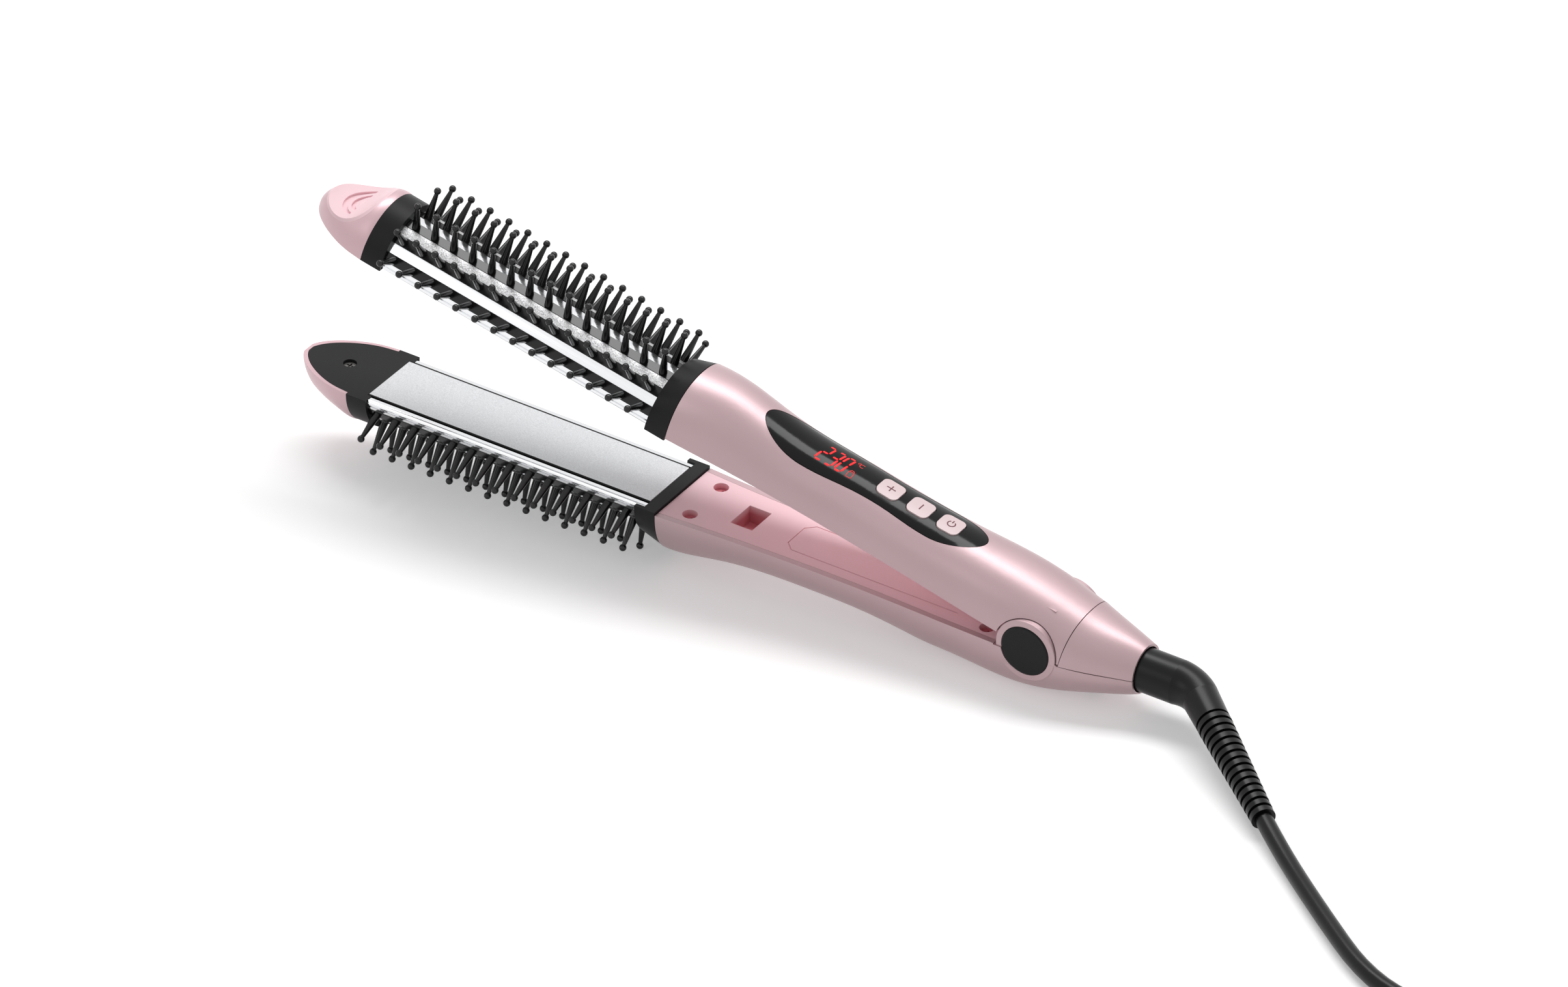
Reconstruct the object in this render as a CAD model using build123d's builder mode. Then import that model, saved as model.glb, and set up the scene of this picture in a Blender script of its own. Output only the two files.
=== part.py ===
"""Hair multistyler: two hinged arms with flat plates inside and comb barrels outside.

The arms are drawn closed, in the hinge's own frame: the hinge axis is Y, the arms run along -X
to their tips, the plates meet on the plane z = 0, and the tail with its cord is at +X.
Each arm is then turned to the pose at rest: lying on its comb tips and its belly, a little open.
"""

from build123d import *
import os
from math import cos, hypot, pi, radians, sin, tan

# the pose at rest, and the hinge centre above the middle of the footprint
OPENING = 11.9
TABLE_TILT = 2.46
HINGE_X = 127.8
HINGE_Z = 18.95

# which arm a piece belongs to: the side of the closing plane it lies on
UPPER = 1
LOWER = -1

# walls and gaps
WALL = 2.2
TIP_WALL = 1.1
FIT = 0.1
RUNNING_GAP = 0.3
PLATE_GAP = 0.15
NOSE_BASE = 0.3
HANDLE_BASE = 1.3

# comb barrel and plates
BARREL_RADIUS = 15.4
BARREL_CENTRE = -0.98
BARREL_BORE = 13.4
BARREL_FRONT = -262.0
BARREL_REAR = -147.0
BARREL_EDGE = 0.55
PLATE_FRONT = -259.6
PLATE_REAR = -147.2
PLATE_HALF_WIDTH = 12.4
PLATE_THICKNESS = 2.3
CHANNEL_HALF_WIDTH = 13.0

# comb rows: six strips of fourteen ball-ended pegs on each barrel
ROWS = 6
ROW_STEP = 25.85
PEGS = 14
PEG_PITCH = 7.7
FIRST_PEG = -254.8
BALL_REACH = 26.0
BALL_RADIUS = 1.25
PEG_FOOT = 1.5
PEG_NECK = 0.72
STRIP_WIDTH = 3.4
STRIP_TOP = 15.5
STRIP_THICKNESS = 1.0
STRIP_FRONT = -258.0
STRIP_REAR = -150.4

# nose and its scoop for the thumb
COLLAR_REAR = -258.1
COLLAR_FRONT = -266.0
SCOOP_X = -284.5
SCOOP_Z = 22.5
SCOOP_RADIUS = 15.6
NOSE_SCREW_X = -275.4
NOSE = [  # x, half width, height, squareness, base
    (-266.0, 16.2, 16.9, 2.0, NOSE_BASE),
    (-272.0, 15.5, 15.9, 2.05, NOSE_BASE),
    (-278.0, 13.8, 13.9, 2.1, NOSE_BASE),
    (-284.0, 10.9, 11.6, 2.2, NOSE_BASE),
    (-288.0, 8.1, 8.8, 2.2, NOSE_BASE),
    (-290.8, 5.2, 5.9, 2.2, NOSE_BASE),
    (-292.4, 2.4, 3.0, 2.2, NOSE_BASE),
]

# handles: the same columns
UPPER_HANDLE = [
    (-142.0, 17.0, 19.4, 2.2, HANDLE_BASE),
    (-129.0, 16.2, 20.0, 2.3, HANDLE_BASE),
    (-118.0, 15.5, 18.5, 2.3, HANDLE_BASE),
    (-107.0, 15.0, 16.8, 2.3, HANDLE_BASE),
    (-79.0, 14.6, 16.2, 2.3, HANDLE_BASE),
    (-59.0, 14.8, 15.8, 2.3, HANDLE_BASE),
    (-37.0, 15.3, 16.2, 2.3, HANDLE_BASE),
    (-15.0, 15.9, 17.0, 2.5, HANDLE_BASE),
    (0.0, 15.7, 16.15, 2.5, HANDLE_BASE),
    (12.0, 14.9, 14.8, 2.4, HANDLE_BASE),
]
LOWER_HANDLE = [
    (-142.0, 17.0, 19.4, 2.2, HANDLE_BASE),
    (-130.0, 16.2, 18.2, 2.3, HANDLE_BASE),
    (-115.0, 15.4, 15.5, 2.3, HANDLE_BASE),
    (-91.0, 14.7, 14.3, 2.3, HANDLE_BASE),
    (-62.0, 14.6, 15.2, 2.3, HANDLE_BASE),
    (-41.0, 15.2, 17.8, 2.3, HANDLE_BASE),
    (-20.0, 15.8, 18.3, 2.5, HANDLE_BASE),
    (1.0, 16.0, 17.4, 2.7, HANDLE_BASE),
    (18.0, 14.1, 13.7, 2.4, HANDLE_BASE),
    (27.5, 11.5, 11.5, 2.2, HANDLE_BASE),
    (36.4, 8.75, 8.9, 2.0, HANDLE_BASE),
]
TAIL_SEAM = 1.8
SEAM_GAP = 0.28
TAIL_TOP = [
    (4.0, 15.9, 22.3, 2.5, -TAIL_SEAM),
    (14.7, 14.8, 15.3, 2.4, -TAIL_SEAM),
    (25.0, 12.2, 12.1, 2.2, -TAIL_SEAM),
    (36.4, 8.75, 8.75, 2.0, -TAIL_SEAM),
]
FRONT_COLLAR = [
    (COLLAR_FRONT, 16.2, 16.9, 2.0, NOSE_BASE),
    (COLLAR_REAR, 16.2, 16.9, 2.0, NOSE_BASE),
]
REAR_COLLAR = [
    (-150.2, 17.0, 17.6, 2.0, NOSE_BASE),
    (-142.3, 17.0, 20.4, 2.2, NOSE_BASE),
]
COVER_THICKNESS = 2.4
COVER_FRONT = -142.0
COVER_REAR = -12.4

# hinge
RING_RADIUS = 11.2
RING_FACE = 15.6
LUG_INNER = 9.3
KNUCKLE_RADIUS = 7.4
KNUCKLE_FROM = -9.0
KNUCKLE_TO = 1.5
PIN_RADIUS = 2.5
PIN_PLAY = 0.06
PIN_LENGTH = 26.4
CAP_RADIUS = 8.9
CAP_FACE = 15.93
CAP_SEAT = 13.4
SHELL_REAR = 12.0

# screws
SCREW_SHANK = 1.3
SCREW_HEAD = 2.5
COVER_SCREWS = [(-133.0, 9.5), (-133.0, -9.5), (-18.0, 9.6), (-18.0, -9.6)]

# controls on the upper arm
LENS_FRONT = -116.0
LENS_REAR = -29.5
LENS_WIDTHS = (9.0, 7.6, 8.5)
LENS_DEPTH = 3.0
BUTTON_SIZE = 8.3
BUTTON_CORNER = 2.2
BUTTONS = {"plus_button": -66.8, "minus_button": -54.9, "power_button": -43.1}
BOARD_HEIGHT = 5.6
FRAME_UNDERSIDE = 8.9
FRAME_THICKNESS = 1.0
WINDOW_X = -88.0

# cord, its strain relief and its plug
CORD_RADIUS = 3.0
ELBOW_X = 55.0
BOOT_RADIUS = 7.5
BOOT_END_RADIUS = 4.1
RIB_START = 17.0
RIB_PITCH = 3.17
RIBS = 15
COIL_PITCH = 6.5
COIL_OUTER = 45.0
COIL_HALF_TURNS = 7
COIL_HEIGHT = 3.9
COIL_LEAD = 7.0
TIE_WIDTH = 9.0
TIE_THICKNESS = 0.7
PLUG_LENGTH = 37.0
PLUG_SECTIONS = [(0.0, 8.4, 8.4, 4.1), (13.0, 12.0, 11.0, 4.8), (22.0, 24.0, 13.2, 5.2), (37.0, 33.0, 13.2, 5.2)]
PIN_SPACING = 18.6
PLUG_PIN_RADIUS = 2.0
PLUG_PIN_LENGTH = 19.0
# the cord's way over the table to its coil, and from the coil to the plug: heading in degrees and length of each run
CORD_RUNS = [(-39.2, 34), (-37.6, 38), (-14, 26), (10, 26), (31, 22)]
TAIL_RUNS = [(211, 12), (182, 24), (165, 28), (170, 16)]

os.makedirs("parts", exist_ok=True)
LOWER_PLACE = Pos(HINGE_X, 0, HINGE_Z) * Rot(0, TABLE_TILT, 0)
UPPER_PLACE = LOWER_PLACE * Rot(0, OPENING, 0)


def finish(piece, name, place=Pos(0, 0, 0)):
    """Put a finished piece in its place at rest, label it and write it."""
    piece.part.move(place)
    piece.part.label = name
    export_step(piece.part, f"parts/{name}.step")


def arm_name(side):
    """The word that starts the names of an arm's pieces."""
    return "upper" if side == UPPER else "lower"


def place_of(side):
    """Where an arm is at rest."""
    return UPPER_PLACE if side == UPPER else LOWER_PLACE


def arm_form(stations, side, inset=0.0):
    """A form lofted through half sections that are flat on the closing side.

    An inset form is the cavity inside a wall: it breaks through the flat side.
    """
    drop = 0.5 if inset > 1 else 0.0
    with BuildPart() as form:
        for x, half_width, height, squareness, base in stations:
            width = half_width - inset
            rise = side * (height - inset + drop)
            foot = side * (base - drop)
            reach = (8 * 2 ** (-1 / squareness) - 4) / 3
            if width < 1.1:
                continue
            with BuildSketch(Plane.YZ.offset(x)):
                with BuildLine():
                    Bezier((width, foot), (width, foot + reach * rise), (reach * width, foot + rise), (0, foot + rise))
                    Bezier((0, foot + rise), (-reach * width, foot + rise), (-width, foot + reach * rise), (-width, foot))
                    Line((-width, foot), (width, foot))
                make_face()
        loft()
    return form.part


def slab(x_from, x_to, z_from, z_to, half_width=20.0):
    """A plain block across the arm, used to cut forms to length and height."""
    with BuildPart() as block:
        with Locations(((x_from + x_to) / 2, 0, (z_from + z_to) / 2)):
            Box(abs(x_to - x_from), 2 * half_width, abs(z_to - z_from))
    return block.part


def scoop(depth=0.0):
    """The hollow cylinder that a thumb rests in, or the wall under it when given a depth."""
    with BuildPart() as hollow:
        with BuildSketch(Plane.XZ):
            with Locations((SCOOP_X, SCOOP_Z)):
                Circle(SCOOP_RADIUS + depth)
        extrude(amount=20, both=True)
    return hollow.part


def crescents():
    """Two crescent grooves sunk into the scoop."""
    with BuildPart() as grooves:
        with BuildSketch(Plane.XY.offset(4)):
            with Locations((-275.3, 0)):
                Circle(8.8)
            with Locations((-273.9, 0)):
                Circle(8.2, mode=Mode.SUBTRACT)
        with BuildSketch(Plane.XY.offset(4)):
            with Locations((-274.9, 0)):
                Circle(6.2)
            with Locations((-273.9, 0)):
                Circle(5.75, mode=Mode.SUBTRACT)
        extrude(amount=8)
        with BuildSketch(Plane.XZ):
            with Locations((SCOOP_X, SCOOP_Z)):
                Circle(SCOOP_RADIUS + 0.85)
        extrude(amount=20, both=True, mode=Mode.INTERSECT)
        add(slab(-290, -277.6, 0, 20), mode=Mode.INTERSECT)
    return grooves.part


def turned(part, side):
    """A part drawn on the upper side, or its mirror image on the lower side."""
    return part if side == UPPER else part.mirror(Plane.XY)


def nose_inside(inset):
    """The nose's form, smaller by a wall all round and at its tip."""
    shrink = 1 - inset / (COLLAR_FRONT - NOSE[-1][0])
    stations = [(COLLAR_FRONT + (x - COLLAR_FRONT) * shrink, *sizes) for x, *sizes in NOSE]
    return arm_form(stations, UPPER, inset)


def tip_cap(side):
    """The pink nose: a thin shell with a scoop for the thumb and a screw boss."""
    outer = arm_form(NOSE, UPPER)
    cavity = nose_inside(TIP_WALL) - scoop(TIP_WALL)
    hollow = scoop()
    grooves = crescents()
    with BuildPart() as cap:
        add(outer)
        add(hollow, mode=Mode.SUBTRACT)
        add(cavity, mode=Mode.SUBTRACT)
        with BuildSketch(Plane.XY.offset(4.2)):
            with Locations((NOSE_SCREW_X, 0)):
                Circle(3.0)
                Circle(SCREW_SHANK, mode=Mode.SUBTRACT)
        extrude(amount=4.2)
        add(grooves, mode=Mode.SUBTRACT)
    finish_side(cap, f"{arm_name(side)}_tip_cap", side)


def finish_side(piece, name, side):
    """Finish a piece drawn on the upper side, mirrored first for the lower arm."""
    with BuildPart() as placed:
        add(turned(piece.part, side))
    finish(placed, name, place_of(side))


def nose_insert(side):
    """The black collar at the barrel's front, in one piece with the flat face under the nose."""
    ring = arm_form(FRONT_COLLAR, UPPER)
    face = nose_inside(TIP_WALL + FIT) & slab(COLLAR_FRONT, -293, NOSE_BASE, 2.8)
    with BuildPart() as insert:
        add(ring)
        add(face)
        with BuildSketch(Plane.YZ.offset(BARREL_FRONT)):
            with Locations((0, BARREL_CENTRE)):
                Circle(BARREL_RADIUS + 0.05)
            with Locations((0, BARREL_EDGE - 0.05 - 10)):
                Rectangle(40, 20, mode=Mode.SUBTRACT)
        extrude(amount=10, mode=Mode.SUBTRACT)
        with BuildSketch(Plane.YZ.offset(PLATE_FRONT - 0.05)):
            Rectangle(2 * PLATE_HALF_WIDTH + 0.1, 6)
        extrude(amount=10, mode=Mode.SUBTRACT)
        with Locations((NOSE_SCREW_X, 0, 4.0)):
            Cylinder(3.2, 2.4, align=(Align.CENTER, Align.CENTER, Align.MAX))
        with Locations(Plane((NOSE_SCREW_X, 0, NOSE_BASE), z_dir=(0, 0, -1))):
            CounterBoreHole(SCREW_SHANK, SCREW_HEAD - 0.15, 2.2, depth=6)
    finish_side(insert, f"{arm_name(side)}_nose_insert", side)


def nose_screw(side):
    """The screw that pulls the nose insert into the tip cap."""
    with BuildPart() as screw:
        with Locations((NOSE_SCREW_X, 0, 2.5)):
            Cylinder(2.2, 1.2, align=(Align.CENTER, Align.CENTER, Align.MAX))
            Cylinder(SCREW_SHANK - 0.02, 4.6, align=(Align.CENTER, Align.CENTER, Align.MIN))
        with Locations((NOSE_SCREW_X, 0, 1.3)):
            Box(2.6, 0.6, 1.0, mode=Mode.SUBTRACT)
            Box(0.6, 2.6, 1.0, mode=Mode.SUBTRACT)
    finish_side(screw, f"{arm_name(side)}_nose_screw", side)


def row_angles():
    """The angle of each comb row from the middle of the barrel's back."""
    return [(row - (ROWS - 1) / 2) * ROW_STEP for row in range(ROWS)]


def barrel(side):
    """The polished barrel: a D section with a seat for the plate and grooves for the comb strips."""
    with BuildPart() as body:
        with BuildSketch(Plane.YZ.offset(BARREL_FRONT)):
            with Locations((0, BARREL_CENTRE)):
                Circle(BARREL_RADIUS)
            with Locations((0, BARREL_EDGE - 20)):
                Rectangle(60, 40, mode=Mode.SUBTRACT)
        extrude(amount=BARREL_REAR - BARREL_FRONT)
        fillet(body.edges().filter_by(Axis.X), radius=1.0)
        with BuildSketch(Plane.YZ.offset(BARREL_FRONT)):
            with Locations((0, BARREL_CENTRE)):
                Circle(BARREL_BORE)
            with Locations((0, 4.2 - 20)):
                Rectangle(60, 40, mode=Mode.SUBTRACT)
        with BuildSketch(Plane.YZ.offset(BARREL_FRONT)):
            with Locations((0, 3.0)):
                Rectangle(2 * (CHANNEL_HALF_WIDTH - 1.6), 4)
        with BuildSketch(Plane.YZ.offset(BARREL_FRONT)):
            with Locations((0, 1.2)):
                Rectangle(2 * CHANNEL_HALF_WIDTH, 2.5)
        extrude(amount=BARREL_REAR - BARREL_FRONT, mode=Mode.SUBTRACT)
        with BuildSketch(Plane.YZ.offset(BARREL_FRONT)):
            for angle in row_angles():
                with Locations(Location((0, BARREL_CENTRE), angle)):
                    with Locations((0, BARREL_RADIUS)):
                        Rectangle(STRIP_WIDTH + FIT, 1.8)
            for angle in (-77.0, 77.0):
                with Locations(Location((0, BARREL_CENTRE), angle)):
                    with Locations((0, BARREL_RADIUS)):
                        Rectangle(0.6, 0.9)
        extrude(amount=BARREL_REAR - BARREL_FRONT, mode=Mode.SUBTRACT)
    finish_side(body, f"{arm_name(side)}_barrel", side)


def plate(side):
    """The flat straightening plate."""
    with BuildPart() as flat:
        with Locations(((PLATE_FRONT + PLATE_REAR) / 2, 0, PLATE_GAP)):
            Box(PLATE_REAR - PLATE_FRONT, 2 * PLATE_HALF_WIDTH, PLATE_THICKNESS,
                align=(Align.CENTER, Align.CENTER, Align.MIN))
        fillet(flat.faces().sort_by(Axis.Z)[0].edges(), radius=0.35)
    finish_side(flat, f"{arm_name(side)}_plate", side)


def comb_row():
    """One strip of ball-ended pegs, drawn on the middle of the barrel's back."""
    with BuildPart() as peg:
        with BuildSketch(Plane.XZ):
            with BuildLine():
                Polyline((0, STRIP_TOP - 0.4), (PEG_FOOT, STRIP_TOP - 0.4), (PEG_FOOT - 0.1, STRIP_TOP + 1.1),
                         (PEG_NECK, BALL_REACH - 1.0), (0, BALL_REACH - 1.0), close=True)
            make_face()
        revolve(axis=Axis.Z)
        with Locations((0, 0, BALL_REACH)):
            Sphere(BALL_RADIUS)
    with BuildPart() as row:
        with Locations(((STRIP_FRONT + STRIP_REAR) / 2, 0, BARREL_CENTRE + STRIP_TOP)):
            Box(STRIP_REAR - STRIP_FRONT, STRIP_WIDTH, STRIP_THICKNESS,
                align=(Align.CENTER, Align.CENTER, Align.MAX))
        with Locations(*[(FIRST_PEG + PEG_PITCH * i, 0, BARREL_CENTRE) for i in range(PEGS)]):
            add(peg.part)
    return row.part


def combs(side):
    """The six comb rows of a barrel, turned about its centre line."""
    row = comb_row()
    centre = Axis((0, 0, BARREL_CENTRE), (1, 0, 0))
    for number, angle in enumerate(row_angles(), start=1):
        with BuildPart() as comb:
            add(row.rotate(centre, angle))
        finish_side(comb, f"{arm_name(side)}_comb_{number}", side)


def rear_collar(side):
    """The black collar between a barrel and its handle."""
    outer = arm_form(REAR_COLLAR, UPPER)
    with BuildPart() as collar:
        add(outer)
        with BuildSketch(Plane.YZ.offset(-151)):
            with Locations((0, BARREL_CENTRE)):
                Circle(BARREL_RADIUS + 0.05)
        extrude(amount=BARREL_REAR + 151, mode=Mode.SUBTRACT)
        with Locations((-146, 0, 9)):
            Box(10, 12, 4, mode=Mode.SUBTRACT)
    finish_side(collar, f"{arm_name(side)}_rear_collar", side)


def heater(side):
    """The ceramic heater, flat against the back of the plate."""
    with BuildPart() as ceramic:
        with Locations((-204, 0, PLATE_GAP + PLATE_THICKNESS)):
            Box(90, 14, 1.4, align=(Align.CENTER, Align.CENTER, Align.MIN))
    finish_side(ceramic, f"{arm_name(side)}_heater", side)


def heater_carrier(side):
    """The bowed carrier that presses the heater on the plate and rests on the barrel's inside."""
    with BuildPart() as carrier:
        with Locations((-204, 0, PLATE_GAP + PLATE_THICKNESS + 1.4)):
            Box(96, 18, 1.6, align=(Align.CENTER, Align.CENTER, Align.MIN))
        with Locations((-204, 0, PLATE_GAP + PLATE_THICKNESS + 3.0)):
            Box(96, 2, 6.9, align=(Align.CENTER, Align.CENTER, Align.MIN))
    finish_side(carrier, f"{arm_name(side)}_heater_carrier", side)


def inner_cover(side):
    """The flat cover inside a handle, with screw cups and a fine panel line."""
    stations = UPPER_HANDLE if side == UPPER else LOWER_HANDLE
    top = HANDLE_BASE + COVER_THICKNESS
    sheet = arm_form(stations, UPPER, WALL + FIT) & slab(COVER_FRONT, COVER_REAR, HANDLE_BASE, top)
    with BuildPart() as cover:
        add(sheet)
        with Locations(*[(x, y, top - 1.0) for x, y in COVER_SCREWS]):
            Cylinder(3.4, 3.0, align=(Align.CENTER, Align.CENTER, Align.MIN))
        with Locations(*[Plane((x, y, HANDLE_BASE), z_dir=(0, 0, -1)) for x, y in COVER_SCREWS]):
            CounterBoreHole(SCREW_SHANK + 0.05, SCREW_HEAD + 0.1, 3.4, depth=8)
        with BuildSketch(Plane.XY.offset(HANDLE_BASE)):
            with BuildLine() as line:
                Polyline((-30, 8), (-94.5, 8), (-97.5, 5), (-97.5, -5), (-94.5, -8), (-30, -8))
            trace(line_width=0.4)
        extrude(amount=0.35, mode=Mode.SUBTRACT)
        with Locations((-115.2, 0, HANDLE_BASE)):
            if side == LOWER:
                Box(10.1, 13.6, 7.4, align=(Align.CENTER, Align.CENTER, Align.MIN))
                Box(8.5, 12.0, 6.6, align=(Align.CENTER, Align.CENTER, Align.MIN), mode=Mode.SUBTRACT)
            else:
                Box(7.3, 10.8, 3.4, align=(Align.CENTER, Align.CENTER, Align.MAX))
    finish_side(cover, f"{arm_name(side)}_inner_cover", side)


def cover_screws(side):
    """Four screws that hold the inner cover, as one group."""
    seat = HANDLE_BASE + 3.4
    with BuildPart() as screws:
        for x, y in COVER_SCREWS:
            with Locations((x, y, seat)):
                Cylinder(SCREW_HEAD, 1.2, align=(Align.CENTER, Align.CENTER, Align.MAX))
                Cylinder(SCREW_SHANK, 6.0, align=(Align.CENTER, Align.CENTER, Align.MIN))
            with Locations((x, y, seat - 1.2)):
                Box(2.8, 0.6, 1.0, mode=Mode.SUBTRACT)
                Box(0.6, 2.8, 1.0, mode=Mode.SUBTRACT)
    finish_side(screws, f"{arm_name(side)}_cover_screws", side)


def screw_bosses(side):
    """Posts inside a handle that the cover screws bite into."""
    with BuildPart() as bosses:
        for x, y in COVER_SCREWS:
            with Locations((x, y, HANDLE_BASE + COVER_THICKNESS + 2.1)):
                Cylinder(3.2, 20, align=(Align.CENTER, Align.CENTER, Align.MIN))
                Cylinder(SCREW_SHANK + 0.05, 7, align=(Align.CENTER, Align.CENTER, Align.MIN), mode=Mode.SUBTRACT)
    return turned(bosses.part, side)


def lens_outline(margin=0.0):
    """The long leaf outline of the control lens, as a prism through the handle's crown."""
    shoulder, waist, hip = (width + margin for width in LENS_WIDTHS)
    front, rear = LENS_FRONT - margin, LENS_REAR + margin
    with BuildPart() as prism:
        with BuildSketch(Plane.XY.offset(5)):
            with BuildLine():
                for side in (1, -1):
                    Bezier((front, 0), (front, 5.5 * side), (-107, shoulder * side), (-97, shoulder * side))
                    Bezier((-97, shoulder * side), (-86, shoulder * side), (-80, waist * side), (-68, waist * side))
                    Bezier((-68, waist * side), (-60, waist * side), (-56, hip * side), (-47, hip * side))
                    Bezier((-47, hip * side), (-38, hip * side), (rear, 4.5 * side), (rear, 0))
            make_face()
        extrude(amount=20)
    return prism.part


def button_prism(x, size, corner, z_from, z_to):
    """A rounded square post, used for the buttons and for their holes."""
    with BuildPart() as post:
        with BuildSketch(Plane.XY.offset(z_from)):
            with Locations((x, 0)):
                RectangleRounded(size, size, corner)
        extrude(amount=z_to - z_from)
    return post.part


def upper_handle_shell():
    """The upper handle: a crowned shell with the lens opening, hinge cut-outs and its knuckle."""
    outer = arm_form(UPPER_HANDLE, UPPER)
    cavity = arm_form(UPPER_HANDLE, UPPER, WALL) & slab(-143, SHELL_REAR - WALL, -1, 30)
    opening = lens_outline(0.3)
    bosses = arm_form(UPPER_HANDLE, UPPER, 0.8) & screw_bosses(UPPER)
    with BuildPart() as shell:
        add(outer)
        add(cavity, mode=Mode.SUBTRACT)
        add(bosses)
        add(opening, mode=Mode.SUBTRACT)
        with Locations(Rot(90, 0, 0)):
            Cylinder(RING_RADIUS + RUNNING_GAP, 60, mode=Mode.SUBTRACT)
        with Locations((0, (KNUCKLE_FROM + KNUCKLE_TO) / 2, 0)):
            with Locations(Rot(90, 0, 0)):
                Cylinder(KNUCKLE_RADIUS, KNUCKLE_TO - KNUCKLE_FROM)
            Box(8, KNUCKLE_TO - KNUCKLE_FROM, 15.6, align=(Align.CENTER, Align.CENTER, Align.MIN))
        with Locations(Rot(90, 0, 0)):
            Cylinder(PIN_RADIUS + PIN_PLAY, 60, mode=Mode.SUBTRACT)
    finish(shell, "upper_handle_shell", UPPER_PLACE)


def hinge_lugs():
    """The two round lugs of the lower arm, bored for the pin and the side caps."""
    with BuildPart() as lugs:
        for hand in (1, -1):
            with Locations(Location((0, hand * (LUG_INNER + RING_FACE) / 2, 0), (90, 0, 0))):
                Cylinder(RING_RADIUS, RING_FACE - LUG_INNER)
        fillet(lugs.edges().group_by(Axis.Y)[0] + lugs.edges().group_by(Axis.Y)[-1], radius=0.4)
        with Locations(Rot(90, 0, 0)):
            Cylinder(PIN_RADIUS + 0.02, 60, mode=Mode.SUBTRACT)
        for hand in (1, -1):
            with Locations(Location((0, hand * (CAP_SEAT + 4), 0), (90, 0, 0))):
                Cylinder(CAP_RADIUS + FIT, 8, mode=Mode.SUBTRACT)
    return lugs.part


def cap_room():
    """The round seats of the side caps, cut through the handle's walls."""
    with BuildPart() as seats:
        for hand in (1, -1):
            with Locations(Location((0, hand * (CAP_SEAT + 4), 0), (90, 0, 0))):
                Cylinder(CAP_RADIUS + FIT, 8)
    return seats.part


def tail_opening():
    """The round mouth of the tail, where the swivelling strain relief goes in."""
    with BuildPart() as mouth:
        with Locations((33.4, 0, -TAIL_SEAM)):
            Cylinder(BOOT_RADIUS + 0.45, 8, rotation=(0, 90, 0), align=(Align.CENTER, Align.CENTER, Align.MIN))
    return mouth.part


def swivel_bore():
    """The bore of the tail's bulkhead, where the swivel ring sits."""
    with BuildPart() as bore:
        with Locations((30.5, 0, -TAIL_SEAM)):
            Cylinder(6.15, 6, rotation=(0, 90, 0))
    return bore.part


def lower_handle_shell():
    """The lower handle: shell, belly and the lower half of the tail and of the hinge lugs."""
    outer = arm_form(LOWER_HANDLE, LOWER)
    cavity = arm_form(LOWER_HANDLE, LOWER, WALL)
    bosses = arm_form(LOWER_HANDLE, LOWER, 0.8) & screw_bosses(LOWER)
    lugs = hinge_lugs() & slab(-20, 20, -TAIL_SEAM, -30)
    mouth = tail_opening()
    seats = cap_room()
    above_seam = slab(-RING_RADIUS - 0.6, 40, -TAIL_SEAM, 10)
    bulkhead = arm_form(LOWER_HANDLE, LOWER, 0.8) & slab(28.7, 32.3, -TAIL_SEAM, -20)
    ring_seat = swivel_bore()
    with BuildPart() as shell:
        add(outer)
        add(cavity, mode=Mode.SUBTRACT)
        add(bosses)
        add(seats, mode=Mode.SUBTRACT)
        add(lugs)
        add(above_seam, mode=Mode.SUBTRACT)
        add(bulkhead)
        add(ring_seat, mode=Mode.SUBTRACT)
        add(mouth, mode=Mode.SUBTRACT)
        with Locations((17.5, 0, -12)):
            Cylinder(3.4, 10, align=(Align.CENTER, Align.CENTER, Align.MIN))
        with Locations((17.5, 0, -20)):
            Cylinder(2.8, 8.8, align=(Align.CENTER, Align.CENTER, Align.MIN), mode=Mode.SUBTRACT)
            Cylinder(SCREW_SHANK + 0.05, 20, align=(Align.CENTER, Align.CENTER, Align.MIN), mode=Mode.SUBTRACT)
    finish(shell, "lower_handle_shell", LOWER_PLACE)


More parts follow.
